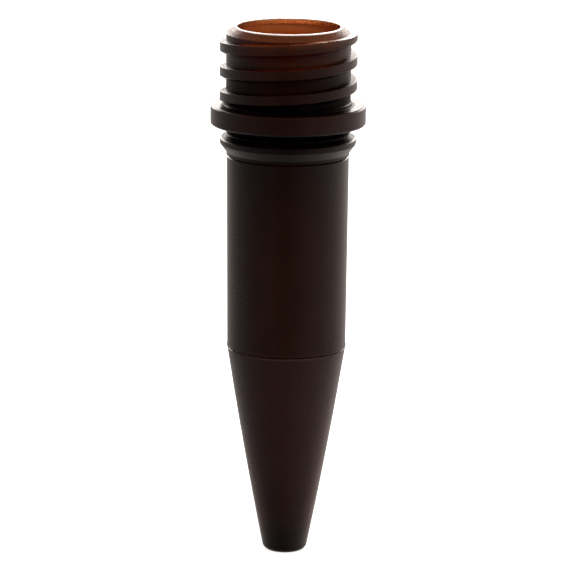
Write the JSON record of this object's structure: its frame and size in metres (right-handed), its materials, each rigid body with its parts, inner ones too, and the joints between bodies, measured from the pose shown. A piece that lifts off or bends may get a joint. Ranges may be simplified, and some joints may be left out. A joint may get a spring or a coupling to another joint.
{
  "type": "microcentrifuge tube",
  "caption": "Open screw-neck microcentrifuge tube: right-hand outside thread, rack flange, straight barrel and long blunt-tipped conical base, moulded in dark amber plastic.",
  "frame": {"origin": "centre of the lower face of the blunt tip, on the tube's axis", "axes": "+Z along the tube's axis from the tip up to the open mouth; +X and +Y are across, the tube being round apart from its thread"},
  "size_m": [0.013, 0.013, 0.045],
  "materials": {
    "amber_plastic": "satin, dark amber polypropylene, slightly see-through where it is thin"
  },
  "bodies": {
    "root": {"tube": "amber_plastic"}
  },
  "joints": []
}
